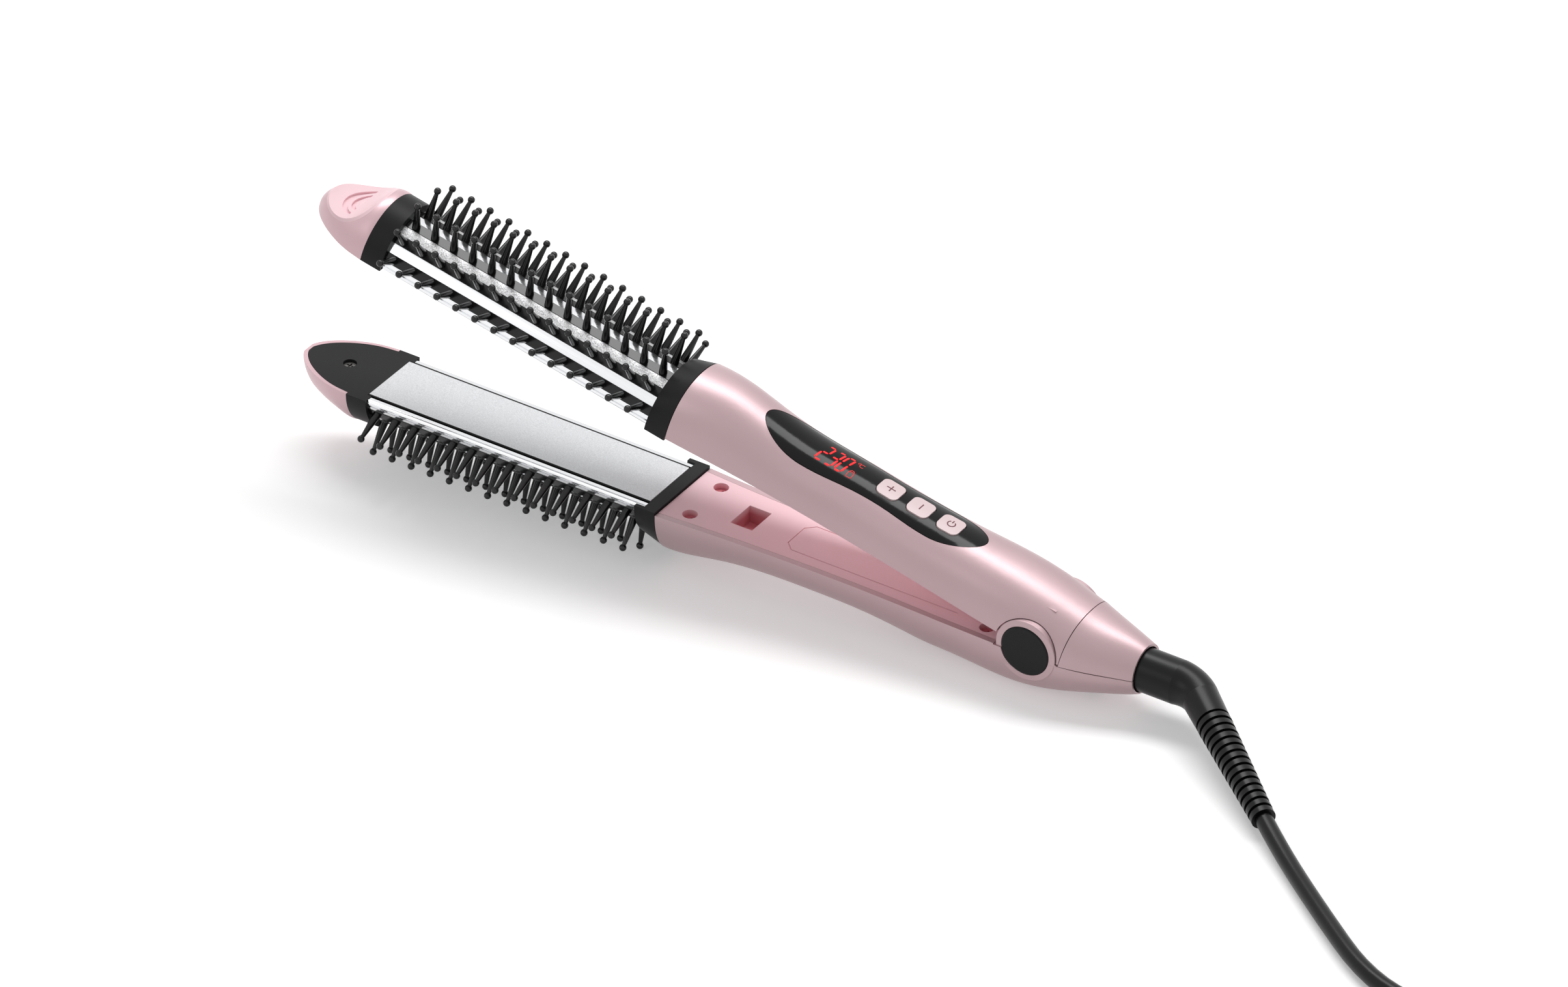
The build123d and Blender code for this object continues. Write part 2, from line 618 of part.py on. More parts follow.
def tail_cover():
    """The top half of the tail, with the upper half of the hinge lugs."""
    outer = arm_form(TAIL_TOP, UPPER)
    cavity = arm_form(TAIL_TOP, UPPER, WALL)
    lugs = hinge_lugs() & slab(-20, 20, -TAIL_SEAM + 0.03, 30)
    mouth = tail_opening()
    seats = cap_room()
    bulkhead = arm_form(TAIL_TOP, UPPER, 0.8) & slab(28.7, 32.3, -TAIL_SEAM + 0.03, 20)
    ring_seat = swivel_bore()
    with BuildPart() as column:
        with Locations((17.5, 0, -TAIL_SEAM + 0.03)):
            Cylinder(3.2, 20.0, align=(Align.CENTER, Align.CENTER, Align.MIN))
    post = column.part & arm_form(TAIL_TOP, UPPER, 0.8)
    with BuildPart() as swept:
        with BuildSketch(Plane.XZ):
            with BuildLine():
                Polyline((-30, 1.0), (SHELL_REAR + RUNNING_GAP, 1.0), (SHELL_REAR + RUNNING_GAP, 40), (-30, 40),
                         close=True)
            make_face()
        extrude(amount=20, both=True)
    swept.part.move(Rot(0, OPENING, 0))
    with BuildPart() as top:
        add(outer)
        add(cavity, mode=Mode.SUBTRACT)
        add(post)
        add(swept.part, mode=Mode.SUBTRACT)
        Box(16.0, 60, 60, mode=Mode.SUBTRACT)
        add(seats, mode=Mode.SUBTRACT)
        add(bulkhead)
        add(ring_seat, mode=Mode.SUBTRACT)
        add(lugs)
        add(slab(-20, 40, -TAIL_SEAM + 0.03, 30), mode=Mode.INTERSECT)
        add(slab(RING_RADIUS + RUNNING_GAP, 40, -TAIL_SEAM, SEAM_GAP - TAIL_SEAM), mode=Mode.SUBTRACT)
        with Locations((17.5, 0, -TAIL_SEAM)):
            Cylinder(SCREW_SHANK + 0.05, 8, align=(Align.CENTER, Align.CENTER, Align.MIN), mode=Mode.SUBTRACT)
        add(mouth, mode=Mode.SUBTRACT)
    finish(top, "tail_cover", LOWER_PLACE)


def hinge_parts():
    """The pin, its two side caps and the spring that opens the arms."""
    with BuildPart() as pin:
        Cylinder(PIN_RADIUS, PIN_LENGTH, rotation=(90, 0, 0))
        chamfer(pin.edges(), length=0.4)
    finish(pin, "hinge_pin", LOWER_PLACE)
    with BuildPart() as caps:
        for hand in (1, -1):
            with Locations(Location((0, hand * (CAP_SEAT + CAP_FACE) / 2, 0), (90, 0, 0))):
                Cylinder(CAP_RADIUS, CAP_FACE - CAP_SEAT)
        fillet(caps.edges().group_by(Axis.Y)[0] + caps.edges().group_by(Axis.Y)[-1], radius=0.6)
    finish(caps, "hinge_caps", LOWER_PLACE)
    with BuildPart() as spring:
        with BuildLine() as wire:
            Helix(pitch=1.5, height=6.0, radius=4.4, center=(0, 8.7, 0), direction=(0, -1, 0))
        with BuildSketch(Plane(wire.line @ 0, z_dir=wire.line % 0)):
            Circle(0.55)
        sweep(is_frenet=True)
    finish(spring, "hinge_spring", LOWER_PLACE)


def swivel_ring():
    """The bearing ring that the strain relief turns in, held between the tail's halves."""
    with BuildPart() as ring:
        with Locations((30.5, 0, -TAIL_SEAM)):
            Cylinder(6.1, 2.5, rotation=(0, 90, 0))
            Cylinder(5.25, 4, rotation=(0, 90, 0), mode=Mode.SUBTRACT)
    finish(ring, "swivel_ring", LOWER_PLACE)


def tail_screw():
    """The screw under the tail."""
    with BuildPart() as screw:
        with Locations((17.5, 0, -11.2)):
            Cylinder(SCREW_HEAD, 1.4, align=(Align.CENTER, Align.CENTER, Align.MAX))
            Cylinder(SCREW_SHANK, 14.5, align=(Align.CENTER, Align.CENTER, Align.MIN))
        with Locations((17.5, 0, -12.6)):
            Box(2.8, 0.6, 1.0, mode=Mode.SUBTRACT)
            Box(0.6, 2.8, 1.0, mode=Mode.SUBTRACT)
    finish(screw, "tail_screw", LOWER_PLACE)


def controls():
    """The lens, its frame, the display, the board, the switches and the three buttons."""
    crown_form = arm_form(UPPER_HANDLE, UPPER)
    skin = crown_form.moved(Pos(0, 0, -0.12))
    under_skin = crown_form.moved(Pos(0, 0, -LENS_DEPTH))
    frame_plate = lens_outline(-0.8) & slab(-125, -20, FRAME_UNDERSIDE, FRAME_UNDERSIDE + FRAME_THICKNESS)
    crown = crown_form.moved(Pos(0, 0, 0.3))
    outline = lens_outline()
    holes = [button_prism(x, BUTTON_SIZE + 0.6, BUTTON_CORNER + 0.3, 5, 30) for x in BUTTONS.values()]
    with BuildPart() as lens:
        add(skin & outline)
        add(under_skin, mode=Mode.SUBTRACT)
        for hole in holes:
            add(hole, mode=Mode.SUBTRACT)
    finish(lens, "control_lens", UPPER_PLACE)
    with BuildPart() as tray:
        add(frame_plate)
        with Locations(*[(x, 0, FRAME_UNDERSIDE) for x in BUTTONS.values()]):
            Box(10.9, 10.2, 5, mode=Mode.SUBTRACT)
        with Locations((WINDOW_X, 0, FRAME_UNDERSIDE)):
            Box(29, 11.4, 5, mode=Mode.SUBTRACT)
    finish(tray, "control_frame", UPPER_PLACE)
    with BuildPart() as board:
        with Locations((-72, 0, BOARD_HEIGHT)):
            Box(84, 17, 1.6, align=(Align.CENTER, Align.CENTER, Align.MIN))
    finish(board, "control_board", UPPER_PLACE)
    with BuildPart() as display:
        with Locations((WINDOW_X, 0, BOARD_HEIGHT + 1.6)):
            Box(28, 10.8, 5.0, align=(Align.CENTER, Align.CENTER, Align.MIN))
    finish(display, "display_module", UPPER_PLACE)
    with BuildPart() as switches:
        with Locations(*[(x, 0, BOARD_HEIGHT + 1.6) for x in BUTTONS.values()]):
            Box(6, 6, 1.8, align=(Align.CENTER, Align.CENTER, Align.MIN))
            Cylinder(1.7, 2.3, align=(Align.CENTER, Align.CENTER, Align.MIN))
    finish(switches, "tact_switches", UPPER_PLACE)
    for name, x in BUTTONS.items():
        head = crown & button_prism(x, BUTTON_SIZE, BUTTON_CORNER, 10.9, 30)
        with BuildPart() as button:
            add(head)
            with Locations((x, 0, 10.1)):
                Box(10.4, 9.8, 0.9, align=(Align.CENTER, Align.CENTER, Align.MIN))
        finish(button, name, UPPER_PLACE)


def boot_direction():
    """The way the strain relief points after its elbow, in the lower arm's frame."""
    return Vector(0.7693, -0.6290, -0.112).normalized()


def strain_relief():
    """The swivelling boot: a stub held in the tail, an elbow and a tapering ribbed sleeve."""
    centre = Vector(ELBOW_X, 0, -TAIL_SEAM)
    along = boot_direction()
    turn = radians(Vector(1, 0, 0).get_angle(along))
    bend = 16.0
    setback = bend * tan(turn / 2)
    across = Vector(1, 0, 0).cross(along).normalized()
    inward = across.cross(Vector(1, 0, 0))
    pivot = centre - Vector(1, 0, 0) * setback + inward * bend
    with BuildPart() as boot:
        with Locations((25.6, 0, -TAIL_SEAM)):
            Cylinder(6.4, 2.8, rotation=(0, 90, 0), align=(Align.CENTER, Align.CENTER, Align.MIN))
            Cylinder(5.0, 10, rotation=(0, 90, 0), align=(Align.CENTER, Align.CENTER, Align.MIN))
        with Locations((33.8, 0, -TAIL_SEAM)):
            Cylinder(BOOT_RADIUS, ELBOW_X - setback - 33.8, rotation=(0, 90, 0),
                     align=(Align.CENTER, Align.CENTER, Align.MIN))
        steps = 5
        for step in range(steps + 1):
            angle = turn * step / steps
            heading = Vector(1, 0, 0) * cos(angle) + inward * sin(angle)
            point = pivot + heading.cross(across) * bend
            with BuildSketch(Plane(point, x_dir=across, z_dir=heading)):
                Circle(BOOT_RADIUS - 1.3 * step / steps)
        loft()
        with BuildSketch(Plane(centre + along * setback, x_dir=across, z_dir=along)):
            Circle(BOOT_RADIUS - 1.3)
        with BuildSketch(Plane(centre + along * RIB_START, x_dir=across, z_dir=along)):
            Circle(5.8)
        loft()
        for rib in range(RIBS):
            start = RIB_START + rib * RIB_PITCH
            outer = 5.8 - (5.8 - BOOT_END_RADIUS) * rib / (RIBS - 1)
            for distance, radius in ((0.0, outer - 0.8), (0.9, outer - 0.8), (1.1, outer), (RIB_PITCH, outer)):
                with BuildSketch(Plane(centre + along * (start + distance), x_dir=across, z_dir=along)):
                    Circle(radius)
        loft(ruled=True)
    finish(boot, "strain_relief_boot", LOWER_PLACE)
    tip = LOWER_PLACE * Pos(centre + along * (RIB_START + RIBS * RIB_PITCH))
    heading = (LOWER_PLACE * Pos(centre + along * 100)).position - tip.position
    return tip.position, heading.normalized()


def tube(points, name):
    """A cord's free stretch: straight runs joined by the largest tangent arcs that they allow."""
    route = [Vector(*point) for point in points]
    radii = []
    for before, corner, after in zip(route, route[1:], route[2:]):
        half_turn = radians((corner - before).get_angle(after - corner)) / 2
        shorter = min((corner - before).length, (after - corner).length)
        radii.append(0.45 * shorter / tan(half_turn))
    print(name, "arc radii", [round(radius, 1) for radius in radii])
    with BuildPart() as cord:
        with BuildLine() as path:
            FilletPolyline(*route, radius=radii)
        with BuildSketch(Plane(route[0], z_dir=route[1] - route[0])):
            Circle(CORD_RADIUS)
        sweep()
    length = sum(edge.length for edge in path.edges())
    print(name, "length", round(length, 1), "volume over section", round(cord.part.volume / (pi * CORD_RADIUS ** 2), 1))
    finish(cord, name)
    return length


def coil(frame):
    """The put-away cord: half turns that spiral in, climb a layer and spiral out again."""
    upper_layer = COIL_HEIGHT + COIL_PITCH
    crossings = [COIL_OUTER]
    sizes = [COIL_OUTER - COIL_PITCH / 2 * turn for turn in range(COIL_HALF_TURNS + 1)]
    sizes += list(reversed(sizes[:-1]))
    heights = [COIL_HEIGHT] * (COIL_HALF_TURNS + 1) + [upper_layer] * (COIL_HALF_TURNS + 1)
    for number, size in enumerate(sizes):
        crossings.append(crossings[-1] - 2 * size * (1 if number % 2 == 0 else -1))
    samples = []
    with BuildPart() as winding:
        with BuildLine(frame) as path:
            Line((crossings[0], COIL_LEAD, heights[0]), (crossings[0], 0, heights[0]))
            for number, size in enumerate(sizes):
                way = -1 if number % 2 == 0 else 1
                start = (crossings[number], 0, heights[number])
                end = (crossings[number + 1], 0, heights[number + 1])
                middle_x = (start[0] + end[0]) / 2
                middle = (middle_x, way * hypot(size, (end[2] - start[2]) / 2), (start[2] + end[2]) / 2)
                ThreePointArc(start, middle, end)
                for step in range(24):
                    angle = pi * step / 24
                    height = start[2] + (end[2] - start[2]) * (1 - cos(angle)) / 2
                    samples.append((middle_x - way * size * cos(angle), way * size * sin(angle), height))
            last = crossings[-1]
            Line((last, 0, heights[-1]), (last, COIL_LEAD, heights[-1]))
        with BuildSketch(Plane(path.line @ 0, z_dir=path.line % 0)):
            Circle(CORD_RADIUS)
        sweep()
    gap = min(
        sum((a - b) ** 2 for a, b in zip(samples[i], samples[j])) ** 0.5
        for i in range(len(samples)) for j in range(i + 8, len(samples))
    ) - 2 * CORD_RADIUS
    length = sum(edge.length for edge in path.edges())
    print("cord_coil length", round(length, 1), "least gap", round(gap, 2),
          "volume over section", round(winding.part.volume / (pi * CORD_RADIUS ** 2), 1))
    finish(winding, "cord_coil")
    return length, path.line @ 1


def coil_tie(frame):
    """The strap round the coil's turns."""
    inner = COIL_OUTER - COIL_PITCH / 2 * (COIL_HALF_TURNS - 1) - CORD_RADIUS - 1.8
    outer = COIL_OUTER + CORD_RADIUS + 0.9
    middle = COIL_HEIGHT + COIL_PITCH / 2
    height = COIL_PITCH + 2 * CORD_RADIUS + 0.2
    section = Plane(frame.origin, x_dir=frame.y_dir, z_dir=frame.x_dir)
    with BuildPart() as tie:
        with BuildSketch(section.offset(-TIE_WIDTH / 2 - 3)):
            with Locations((-(inner + outer) / 2, middle)):
                RectangleRounded(outer - inner + 2 * TIE_THICKNESS, height + 2 * TIE_THICKNESS, 3.0)
                RectangleRounded(outer - inner, height, 3.0 - TIE_THICKNESS, mode=Mode.SUBTRACT)
        extrude(amount=TIE_WIDTH)
    finish(tie, "coil_tie")


def plug(position, heading):
    """A flat two-pin mains plug lying on the table, and its pins."""
    across = Vector(0, 0, 1).cross(heading)
    with BuildPart() as body:
        for distance, width, height, corner in PLUG_SECTIONS:
            with BuildSketch(Plane(position + heading * distance, x_dir=across, z_dir=heading)):
                RectangleRounded(width, height, corner)
        loft(ruled=True)
    finish(body, "plug")
    with BuildPart() as pins:
        for hand in (1, -1):
            foot = position + heading * PLUG_LENGTH + across * (hand * PIN_SPACING / 2)
            with BuildSketch(Plane(foot, x_dir=across, z_dir=heading)):
                Circle(PLUG_PIN_RADIUS)
            extrude(amount=PLUG_PIN_LENGTH)
    finish(pins, "plug_pins")


def runs_from(start, runs):
    """The corners of level runs laid end to end, each with its heading in degrees and its length."""
    corners = [start]
    for heading, run in runs:
        corners.append(corners[-1] + Vector(cos(radians(heading)), sin(radians(heading)), 0) * run)
    return corners


for arm in (UPPER, LOWER):
    tip_cap(arm)
    nose_insert(arm)
    nose_screw(arm)
    barrel(arm)
    plate(arm)
    combs(arm)
    rear_collar(arm)
    heater(arm)
    heater_carrier(arm)
    inner_cover(arm)
    cover_screws(arm)
upper_handle_shell()
lower_handle_shell()
tail_cover()
hinge_parts()
swivel_ring()
tail_screw()
controls()
boot_tip, boot_heading = strain_relief()
touch_down = boot_tip + boot_heading * ((boot_tip.Z - CORD_RADIUS - 0.05) / -boot_heading.Z)
route = [boot_tip] + runs_from(touch_down, CORD_RUNS)
lift = Vector(0, 0, COIL_HEIGHT - route[-1].Z)
route[-2:] = [route[-2] + lift, route[-1] + lift]
free_length = tube(route, "cord")
entry_heading = Vector(cos(radians(CORD_RUNS[-1][0])), sin(radians(CORD_RUNS[-1][0])), 0)
towards_view = Vector(0, 0, 1).cross(entry_heading)
coil_centre = route[-1] + entry_heading * COIL_LEAD - towards_view * COIL_OUTER
coil_frame = Plane((coil_centre.X, coil_centre.Y, 0), x_dir=towards_view, z_dir=(0, 0, 1))
coil_length, coil_end = coil(coil_frame)
coil_tie(coil_frame)
plug_drop = Vector(0, 0, coil_end.Z - PLUG_SECTIONS[-1][2] / 2 - 0.05)
tail_route = runs_from(coil_end, TAIL_RUNS)
tail_route[2] = tail_route[2] - plug_drop * 0.4
tail_route[-2:] = [tail_route[-2] - plug_drop, tail_route[-1] - plug_drop]
tail_length = tube(tail_route, "cord_tail")
plug_heading = tail_route[-1] - tail_route[-2]
plug(tail_route[-1], Vector(plug_heading.X, plug_heading.Y, 0).normalized())
print("cord length in all", round(free_length + coil_length + tail_length))
print("route", [tuple(round(value, 1) for value in tuple(point)) for point in route])
print("tail route", [tuple(round(value, 1) for value in tuple(point)) for point in tail_route])
print("coil frame", coil_frame)
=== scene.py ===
"""Dresses the hair multistyler: its paint, metal, plastic and rubber, the lit display, the button
icons and the whole mains cord from the strain relief to the plug.

Lengths are in metres, and MM turns the millimetres of the sizes into them. An arm is drawn closed,
in the frame of its hinge: +X runs to the tail, and +Z away from the closing plane. NOISE_RANGE and
NOISE_CORE are the heights that a noise texture mostly keeps to.
"""

import logging
from dataclasses import dataclass, field
from enum import Enum
from math import cos, pi, radians, sin

import bmesh
import bpy
from mathutils import Matrix, Vector
from mathutils.bvhtree import BVHTree


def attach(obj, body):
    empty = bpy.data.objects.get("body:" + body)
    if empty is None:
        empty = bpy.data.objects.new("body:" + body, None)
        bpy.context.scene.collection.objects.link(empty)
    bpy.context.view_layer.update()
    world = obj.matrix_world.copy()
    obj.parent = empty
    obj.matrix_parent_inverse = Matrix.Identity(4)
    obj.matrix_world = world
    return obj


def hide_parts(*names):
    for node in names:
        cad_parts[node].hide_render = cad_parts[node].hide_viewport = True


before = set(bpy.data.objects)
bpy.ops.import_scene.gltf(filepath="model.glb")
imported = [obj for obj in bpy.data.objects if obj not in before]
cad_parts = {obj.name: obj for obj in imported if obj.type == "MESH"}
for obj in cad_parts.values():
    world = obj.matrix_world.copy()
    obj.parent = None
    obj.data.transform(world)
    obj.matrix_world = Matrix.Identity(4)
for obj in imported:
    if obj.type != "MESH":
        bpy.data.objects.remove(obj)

MM = 0.001
HINGE = Vector((0.1278, 0.0, 0.01895))
TABLE_TILT = radians(2.46)
OPENING = radians(11.9)
NOISE_RANGE = (0.3, 0.7)
NOISE_CORE = (0.35, 0.65)
Color = tuple[float, float, float]
Socket = bpy.types.NodeSocket
log = logging.getLogger("multistyler")


class Arm(Enum):
    """One of the two arms; its value is the side of the closing plane that it lies on."""

    UPPER = 1
    LOWER = -1

    @property
    def word(self) -> str:
        """The word that starts the names of the arm's nodes."""
        return self.name.lower()

    @property
    def body(self) -> str:
        """The moving body that the arm's pieces ride on."""
        return f"{self.word}_arm"

    @property
    def turn(self) -> float:
        """How far the arm is turned about the hinge from lying level."""
        return TABLE_TILT + (OPENING if self is Arm.UPPER else 0.0)

    def place(self) -> Matrix:
        """Takes the arm's own frame to the frame at rest, mirroring the lower arm."""
        side = Matrix.Scale(self.value, 4, Vector((0, 0, 1)))
        return Matrix.Translation(HINGE) @ Matrix.Rotation(self.turn, 4, "Y") @ side


def srgb(red: int, green: int, blue: int) -> Color:
    """Turns a screen colour of 0 to 255 into the linear values that shaders use."""
    def linear(value: int) -> float:
        """One channel."""
        part = value / 255
        return part / 12.92 if part <= 0.04045 else ((part + 0.055) / 1.055) ** 2.4
    return linear(red), linear(green), linear(blue)


class NodeSheet:
    """The node tree of one material, with short calls for the nodes that the finishes share."""

    def __init__(self, name: str) -> None:
        """Starts a material with a plain Principled shader."""
        self.material = bpy.data.materials.new(name)
        self.material.use_nodes = True
        self.tree = self.material.node_tree
        self.shader = self.tree.nodes["Principled BSDF"]

    def node(self, kind: str, **settings: object) -> bpy.types.Node:
        """Adds a node and sets its own properties."""
        made = self.tree.nodes.new(kind)
        for name, value in settings.items():
            setattr(made, name, value)
        return made

    def join(self, source: Socket, target: Socket) -> None:
        """Links two sockets."""
        self.tree.links.new(source, target)

    def feed(self, target: Socket, value: "Socket | float | Color") -> None:
        """Links a socket or sets a plain value."""
        if isinstance(value, bpy.types.NodeSocket):
            self.join(value, target)
        elif isinstance(value, tuple):
            target.default_value = (*value, 1.0) if len(target.default_value) == 4 else value
        else:
            target.default_value = value

    def coordinates(self, place: Matrix | None = None) -> Socket:
        """Object coordinates, or those of the frame that place takes to the frame at rest.

        Args:
            place: a turn and a shift, without a mirror.

        Returns:
            The vector socket.
        """
        source = self.node("ShaderNodeTexCoord").outputs["Object"]
        if place is None:
            return source
        mapping = self.node("ShaderNodeMapping", vector_type="TEXTURE")
        mapping.inputs["Location"].default_value = place.to_translation()
        mapping.inputs["Rotation"].default_value = place.to_euler()
        self.join(source, mapping.inputs["Vector"])
        return mapping.outputs["Vector"]

    def parts(self, vector: Socket) -> tuple[Socket, Socket, Socket]:
        """The X, Y and Z of a vector."""
        split = self.node("ShaderNodeSeparateXYZ")
        self.join(vector, split.inputs[0])
        return split.outputs[0], split.outputs[1], split.outputs[2]

    def arm_coordinates(self, place: Matrix) -> tuple[Socket, Socket, Socket, Socket]:
        """Coordinates in an arm's own frame.

        Args:
            place: the arm's place, which mirrors the lower arm.

        Returns:
            The vector before the mirror, and its X, Y and Z after it.
        """
        side = 1.0 if place.determinant() > 0 else -1.0
        vector = self.coordinates(place @ Matrix.Scale(side, 4, Vector((0, 0, 1))))
        x, y, z = self.parts(vector)
        return vector, x, y, self.math("MULTIPLY", z, side)

    def math(self, operation: str, first: Socket | float, second: Socket | float = 0.0) -> Socket:
        """One Math node."""
        made = self.node("ShaderNodeMath", operation=operation)
        self.feed(made.inputs[0], first)
        self.feed(made.inputs[1], second)
        return made.outputs[0]

    def noise(self, vector: Socket, scale: float, detail: float = 2.0) -> Socket:
        """The height of a noise texture."""
        made = self.node("ShaderNodeTexNoise")
        self.join(vector, made.inputs["Vector"])
        made.inputs["Scale"].default_value = scale
        made.inputs["Detail"].default_value = detail
        return made.outputs["Fac"]

    def remap(self, value: Socket, low: float, high: float, to_low: float = 0.0,
              to_high: float = 1.0) -> Socket:
        """Clamps and stretches a value from one range to another."""
        made = self.node("ShaderNodeMapRange")
        for index, given in enumerate((value, low, high, to_low, to_high)):
            self.feed(made.inputs[index], given)
        return made.outputs[0]

    def blend(self, share: Socket | float, first: "Socket | Color", second: "Socket | Color") -> Socket:
        """Mixes two colours."""
        made = self.node("ShaderNodeMix", data_type="RGBA")
        self.feed(made.inputs["Factor"], share)
        self.feed(made.inputs[6], first)
        self.feed(made.inputs[7], second)
        return made.outputs[2]

    def bump(self, height: Socket, distance: float, strength: float = 1.0) -> None:
        """Raises the shader's surface by a height."""
        made = self.node("ShaderNodeBump")
        made.inputs["Strength"].default_value = strength
        made.inputs["Distance"].default_value = distance
        self.join(height, made.inputs["Height"])
        self.join(made.outputs["Normal"], self.shader.inputs["Normal"])


@dataclass(frozen=True)
class Finish:
    """A finish that is one shader with plain sockets; its kinds add colour, grain and relief."""

    name: str
    color: Color
    roughness: float
    metallic: float = 0.0
    coat: float = 0.0
    coat_roughness: float = 0.1
    specular: float = 0.5
    glow: float = 0.0

    def build(self, place: Matrix | None = None) -> bpy.types.Material:
        """Makes the material.

        Args:
            place: the frame that a directed pattern is drawn in.

        Returns:
            The finished material.
        """
        sheet = NodeSheet(self.name)
        values = {"Base Color": (*self.color, 1.0), "Roughness": self.roughness, "Metallic": self.metallic,
                  "Coat Weight": self.coat, "Coat Roughness": self.coat_roughness,
                  "Specular IOR Level": self.specular, "Emission Strength": self.glow,
                  "Emission Color": (*self.color, 1.0)}
        for socket, value in values.items():
            sheet.shader.inputs[socket].default_value = value
        self.dress(sheet, place)
        return sheet.material

    def dress(self, sheet: NodeSheet, place: Matrix | None) -> None:
        """Adds nothing: the finish is plain."""


@dataclass(frozen=True)
class Moulded(Finish):
    """Moulded plastic or rubber: a soft unevenness of gloss, fine texture and faint tone changes."""

    grain: float = 2500.0
    relief: float = 0.00002
    drift: float = 35.0
    tone: float = 0.06
    gloss_spread: float = 0.1

    def dress(self, sheet: NodeSheet, place: Matrix | None) -> None:
        """Adds the grain of the mould and a slow change of tone."""
        where = sheet.coordinates()
        fine = sheet.noise(where, self.grain, 3.0)
        slow = sheet.noise(where, self.drift, 2.0)
        darker = tuple(value * (1 - self.tone) for value in self.color)
        sheet.join(sheet.blend(slow, self.color, darker), sheet.shader.inputs["Base Color"])
        low, high = self.roughness * (1 - self.gloss_spread), self.roughness * (1 + self.gloss_spread)
        sheet.join(sheet.remap(slow, *NOISE_RANGE, low, high), sheet.shader.inputs["Roughness"])
        sheet.bump(fine, self.relief)


@dataclass(frozen=True)
class CoverPlasticWithRecessShade(Moulded):
    """The inner covers' plastic, with painted shade: a deeper rose painted inside its pocket and screw
    cups.
    """

    # painted shade: the rose that the pocket and screw cups darken to, its largest share, and the depths
    # over which it grows
    deep: Color = (0.6, 0.12, 0.15)
    deep_share: float = 0.75
    face: float = 1.3 * MM
    deep_from: float = 0.1 * MM
    deep_to: float = 3.0 * MM

    def dress(self, sheet: NodeSheet, place: Matrix | None) -> None:
        """Paints shade into the colour: it deepens to rose with the depth under the cover's face."""
        super().dress(sheet, place)
        z = sheet.arm_coordinates(place)[3]
        depth = sheet.math("SUBTRACT", z, self.face)
        # painted shade: the deeper the surface lies under the face, the more of the shaded rose it takes
        share = sheet.remap(depth, self.deep_from, self.deep_to, 0.0, self.deep_share)
        plain = sheet.shader.inputs["Base Color"].links[0].from_socket
        sheet.join(sheet.blend(share, plain, self.deep), sheet.shader.inputs["Base Color"])


@dataclass(frozen=True)
class PearlPaint(Finish):
    """Pearl paint over a plastic shell: fine bright flakes under a clear coat."""

    shade: Color = (0.5, 0.33, 0.36)
    shade_share: float = 0.35
    drift: float = 18.0
    flake_scale: float = 9000.0
    flake_light: float = 1.12
    flake_share: float = 0.25
    flake_relief: float = 0.000004
    gloss_spread: float = 0.05

    def dress(self, sheet: NodeSheet, place: Matrix | None) -> None:
        """Adds the flakes, and a slow drift between the paint's two tones."""
        where = sheet.coordinates()
        flakes = sheet.node("ShaderNodeTexVoronoi", feature="F1")
        flakes.inputs["Scale"].default_value = self.flake_scale
        sheet.join(where, flakes.inputs["Vector"])
        flake = sheet.parts(flakes.outputs["Color"])[0]
        drift = sheet.remap(sheet.noise(where, self.drift, 2.0), *NOISE_CORE, 0.0, self.shade_share)
        body = sheet.blend(drift, self.color, self.shade)
        lighter = tuple(min(1.0, value * self.flake_light) for value in self.color)
        painted = sheet.blend(sheet.math("MULTIPLY", flake, self.flake_share), body, lighter)
        sheet.join(painted, sheet.shader.inputs["Base Color"])
        low, high = self.roughness - self.gloss_spread, self.roughness + self.gloss_spread
        sheet.join(sheet.remap(flake, 0.0, 1.0, low, high), sheet.shader.inputs["Roughness"])
        sheet.bump(flake, self.flake_relief, 0.5)


@dataclass(frozen=True)
class TipPaint(PearlPaint):
    """The nose: pearl paint outside, plain satin pink in the scoop and its crescents."""

    plain: Color = (0.86, 0.6, 0.64)
    scoop_x: float = -284.5 * MM
    scoop_z: float = 22.5 * MM
    scoop_from: float = 16.5 * MM
    scoop_to: float = 16.6 * MM

    def dress(self, sheet: NodeSheet, place: Matrix | None) -> None:
        """Paints all but what lies inside the scoop's cylinder."""
        super().dress(sheet, place)
        _, x, _, z = sheet.arm_coordinates(place)
        along = sheet.math("SUBTRACT", x, self.scoop_x)
        rise = sheet.math("SUBTRACT", z, self.scoop_z)
        square = sheet.math("ADD", sheet.math("MULTIPLY", along, along), sheet.math("MULTIPLY", rise, rise))
        distance = sheet.math("SQRT", square)
        inside = sheet.remap(distance, self.scoop_from, self.scoop_to, 1.0, 0.0)
        painted = sheet.shader.inputs["Base Color"].links[0].from_socket
        sheet.join(sheet.blend(inside, painted, self.plain), sheet.shader.inputs["Base Color"])
        sheet.join(sheet.remap(inside, 0.0, 1.0, self.metallic, 0.0), sheet.shader.inputs["Metallic"])


